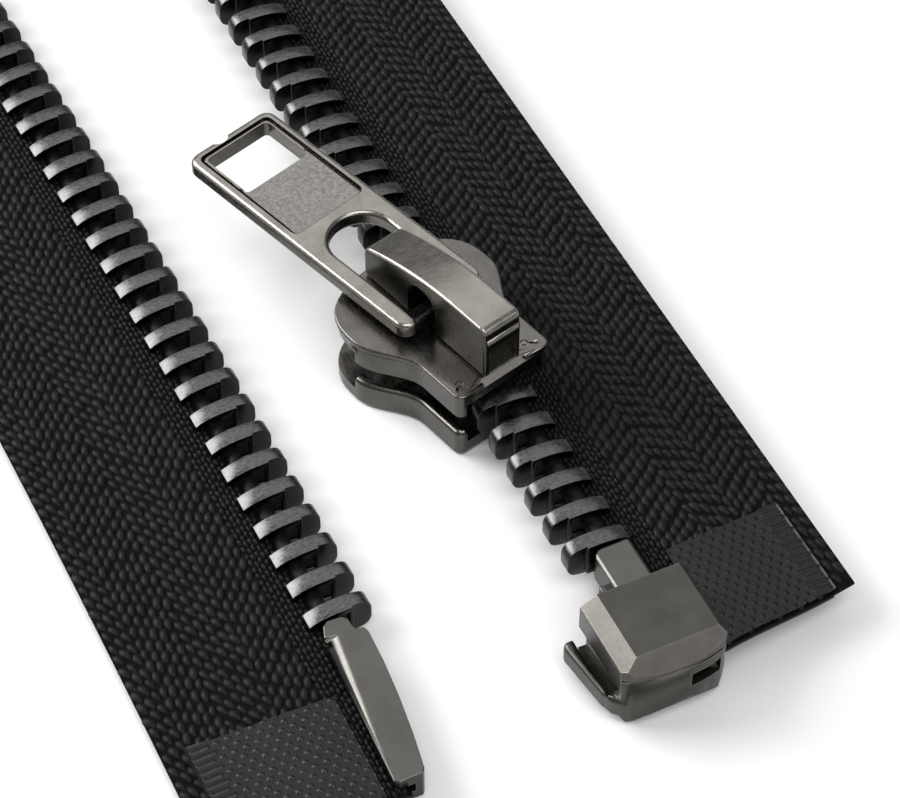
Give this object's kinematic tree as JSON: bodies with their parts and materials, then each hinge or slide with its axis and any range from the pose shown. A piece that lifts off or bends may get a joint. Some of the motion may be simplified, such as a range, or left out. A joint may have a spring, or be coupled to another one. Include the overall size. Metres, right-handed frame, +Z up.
{
  "type": "zipper",
  "caption": "Open-end metal zipper laid open: two toothed tapes, insertion pin and retainer box, and a locking slider with a windowed pull tab.",
  "frame": {"origin": "on the table under the middle of the whole laid-out zipper", "axes": "+Z up from the table, +Y along the chain towards the top stops, +X from the left stringer to the right one"},
  "size_m": [0.0598, 0.1446, 0.0129],
  "materials": {
    "tape_weave": "black herringbone polyester weave",
    "tape_cord": "black twisted cord",
    "reinforcing_film": "semi-gloss black embossed film",
    "teeth_gunmetal": "dark gunmetal with burnished backs",
    "slider_gunmetal": "polished and brushed gunmetal plating",
    "pin_nickel": "satin nickel",
    "spring_steel": "dark spring steel"
  },
  "bodies": {
    "right_stringer": {"box_pin": "pin_nickel", "cord_right": "tape_cord", "film_back_right": "reinforcing_film", "film_front_right": "reinforcing_film", "retainer_box": "pin_nickel", "tape_right": "tape_weave", "tooth_right_01": "teeth_gunmetal", "tooth_right_02": "teeth_gunmetal", "tooth_right_03": "teeth_gunmetal", "tooth_right_04": "teeth_gunmetal", "tooth_right_05": "teeth_gunmetal", "tooth_right_06": "teeth_gunmetal", "tooth_right_07": "teeth_gunmetal", "tooth_right_08": "teeth_gunmetal", "tooth_right_09": "teeth_gunmetal", "tooth_right_10": "teeth_gunmetal", "tooth_right_11": "teeth_gunmetal", "tooth_right_12": "teeth_gunmetal", "tooth_right_13": "teeth_gunmetal", "tooth_right_14": "teeth_gunmetal", "tooth_right_15": "teeth_gunmetal", "tooth_right_16": "teeth_gunmetal", "tooth_right_17": "teeth_gunmetal", "tooth_right_18": "teeth_gunmetal", "tooth_right_19": "teeth_gunmetal", "top_stop_right": "teeth_gunmetal", "upper_teeth_right": "teeth_gunmetal"},
    "slider": {"slider_body": "slider_gunmetal", "slider_crown": "slider_gunmetal"},
    "pull": {"pull_tab": "slider_gunmetal"},
    "lock": {"lock_spring": "spring_steel"},
    "left_stringer": {"cord_left": "tape_cord", "film_back_left": "reinforcing_film", "film_front_left": "reinforcing_film", "tape_left": "tape_weave", "tooth_left_01": "teeth_gunmetal", "tooth_left_02": "teeth_gunmetal", "tooth_left_03": "teeth_gunmetal", "tooth_left_04": "teeth_gunmetal", "tooth_left_05": "teeth_gunmetal", "tooth_left_06": "teeth_gunmetal", "tooth_left_07": "teeth_gunmetal", "tooth_left_08": "teeth_gunmetal", "tooth_left_09": "teeth_gunmetal", "tooth_left_10": "teeth_gunmetal", "tooth_left_11": "teeth_gunmetal", "tooth_left_12": "teeth_gunmetal", "tooth_left_13": "teeth_gunmetal", "tooth_left_14": "teeth_gunmetal", "tooth_left_15": "teeth_gunmetal", "tooth_left_16": "teeth_gunmetal", "tooth_left_17": "teeth_gunmetal", "tooth_left_18": "teeth_gunmetal", "tooth_left_19": "teeth_gunmetal", "top_stop_left": "teeth_gunmetal", "upper_teeth_left": "teeth_gunmetal", "insertion_pin": "pin_nickel"}
  },
  "joints": [
    {"name": "slider_travel", "type": "slide", "parent": "right_stringer", "child": "slider", "axis": [0, 1, 0], "range_m": [-0.0213, 0.0806]},
    {"name": "pull_swing", "type": "hinge", "parent": "slider", "child": "pull", "pos_m": [0.01119, -0.03363, 0.00868], "axis": [0.9494, 0.314, 0], "range_deg": [0, 175]},
    {"name": "lock_pawl", "type": "slide", "parent": "slider", "child": "lock", "axis": [0, 0, 1], "range_m": [0, 0.0006]},
    {"name": "left_stringer_slide", "type": "slide", "parent": "right_stringer", "child": "left_stringer", "axis": [1, 0, 0], "range_m": [-0.02, 0.004]}
  ],
  "couplings": [
    {"joint": "lock_pawl", "follows": "pull_swing", "m_per_rad": 0.000196}
  ]
}
